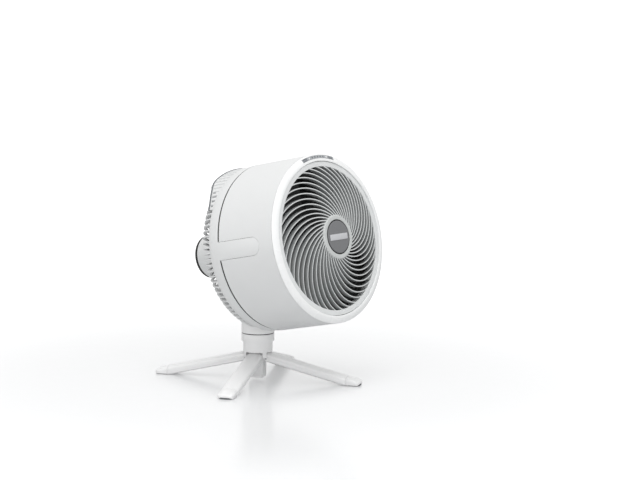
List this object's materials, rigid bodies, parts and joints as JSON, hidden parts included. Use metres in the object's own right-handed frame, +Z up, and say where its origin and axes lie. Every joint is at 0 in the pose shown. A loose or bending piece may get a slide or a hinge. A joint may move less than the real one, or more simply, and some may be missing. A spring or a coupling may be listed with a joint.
{
  "type": "air circulator fan",
  "caption": "Tabletop air circulator fan: a drum head with a domed spiral grille, tilting and turning on a neck above a short post with folding splayed legs.",
  "frame": {"origin": "on the post's axis, on the plane that the four foot pads stand on", "axes": "+Z up; the fan blows towards -Y, tilted up 12 degrees; +X is on the right-hand side of someone who looks along +Y at the front grille"},
  "size_m": [0.3674, 0.3824, 0.4246],
  "materials": {
    "shell_white": "satin moulded plastic",
    "grille_silver": "satin silver-grey plastic",
    "ring_light": "satin light grey plastic",
    "dark_inner": "matt near-black plastic",
    "badge_grey": "satin mid-grey plastic",
    "badge_light": "smooth light grey plastic",
    "panel_black": "glossy dark plastic",
    "window_dark": "smoked clear plastic",
    "steel": "ground steel",
    "motor_metal": "plated steel can",
    "nylon": "natural nylon",
    "battery_wrap": "cells in a blue shrink sleeve",
    "board_green": "green circuit board",
    "foot_rubber": "matt rubber"
  },
  "bodies": {
    "stand": {"post_shell": "shell_white", "post_core": "shell_white", "core_cap": "shell_white", "leg_hinge_pins": "steel", "pan_spindle": "nylon", "spindle_clip": "steel", "swing_gear": "nylon"},
    "neck": {"neck_shell": "shell_white", "tilt_pin": "steel", "swing_motor": "motor_metal"},
    "pinion": {"swing_pinion": "nylon"},
    "head": {"drum_shell": "shell_white", "front_bezel": "shell_white", "air_duct": "dark_inner", "front_grille": "grille_silver", "centre_badge": "badge_grey", "badge_plate": "badge_light", "control_panel": "panel_black", "speed_lights": "window_dark", "rear_ring": "shell_white", "rear_grille": "shell_white", "tilt_bracket": "shell_white", "carry_handle": "shell_white", "motor_housing": "shell_white", "housing_end_cap": "dark_inner", "motor_mount": "dark_inner", "motor": "motor_metal", "battery_pack": "battery_wrap", "control_board": "board_green"},
    "rotor": {"fan_blades": "dark_inner", "motor_shaft": "steel", "blade_nut": "dark_inner"},
    "leg_1": {"leg_1": "shell_white", "toe_cap_1": "shell_white", "foot_pad_1": "foot_rubber"},
    "leg_2": {"leg_2": "shell_white", "toe_cap_2": "shell_white", "foot_pad_2": "foot_rubber"},
    "leg_3": {"leg_3": "shell_white", "toe_cap_3": "shell_white", "foot_pad_3": "foot_rubber"},
    "leg_4": {"leg_4": "shell_white", "toe_cap_4": "shell_white", "foot_pad_4": "foot_rubber"},
    "power_button": {"power_button": "panel_black"},
    "minus_button": {"minus_button": "badge_light"},
    "plus_button": {"plus_button": "badge_light"},
    "swing_button": {"swing_button": "panel_black"}
  },
  "joints": [
    {"name": "pan", "type": "hinge", "parent": "stand", "child": "neck", "pos_m": [0, 0, 0.0871], "axis": [0, 0, 1], "range_deg": [-111.5, 68.5]},
    {"name": "pinion_spin", "type": "hinge", "parent": "neck", "child": "pinion", "pos_m": [-0.0195, 0, 0.094], "axis": [0, 0, 1], "range_deg": [-285, 176]},
    {"name": "tilt", "type": "hinge", "parent": "neck", "child": "head", "pos_m": [0, 0, 0.114], "axis": [-1, 0, 0], "range_deg": [-12, 43]},
    {"name": "rotor_spin", "type": "hinge", "parent": "head", "child": "rotor", "pos_m": [0, -0.16413, 0.27586], "axis": [0, -0.9781, 0.2079], "continuous": true},
    {"name": "leg_1_fold", "type": "hinge", "parent": "stand", "child": "leg_1", "pos_m": [0.00756, -0.01738, 0.0415], "axis": [0.9171, 0.3987, 0], "range_deg": [0, 76.5]},
    {"name": "leg_2_fold", "type": "hinge", "parent": "stand", "child": "leg_2", "pos_m": [0.01738, 0.00756, 0.0415], "axis": [-0.3987, 0.9171, 0], "range_deg": [0, 76.5]},
    {"name": "leg_3_fold", "type": "hinge", "parent": "stand", "child": "leg_3", "pos_m": [-0.00756, 0.01738, 0.0415], "axis": [-0.9171, -0.3987, 0], "range_deg": [0, 76.5]},
    {"name": "leg_4_fold", "type": "hinge", "parent": "stand", "child": "leg_4", "pos_m": [-0.01738, -0.00756, 0.0415], "axis": [0.3987, -0.9171, 0], "range_deg": [0, 76.5]},
    {"name": "power_button_press", "type": "slide", "parent": "head", "child": "power_button", "axis": [0, 0.9781, -0.2079], "range_m": [0, 0.0008], "stiffness_N_per_m": 500},
    {"name": "minus_button_press", "type": "slide", "parent": "head", "child": "minus_button", "axis": [0, 0.9781, -0.2079], "range_m": [0, 0.0008], "stiffness_N_per_m": 500},
    {"name": "plus_button_press", "type": "slide", "parent": "head", "child": "plus_button", "axis": [0, 0.9781, -0.2079], "range_m": [0, 0.0008], "stiffness_N_per_m": 500},
    {"name": "swing_button_press", "type": "slide", "parent": "head", "child": "swing_button", "axis": [0, 0.9781, -0.2079], "range_m": [0, 0.0008], "stiffness_N_per_m": 500}
  ],
  "couplings": [
    {"joint": "pinion_spin", "follows": "pan", "ratio": 2.5455}
  ]
}
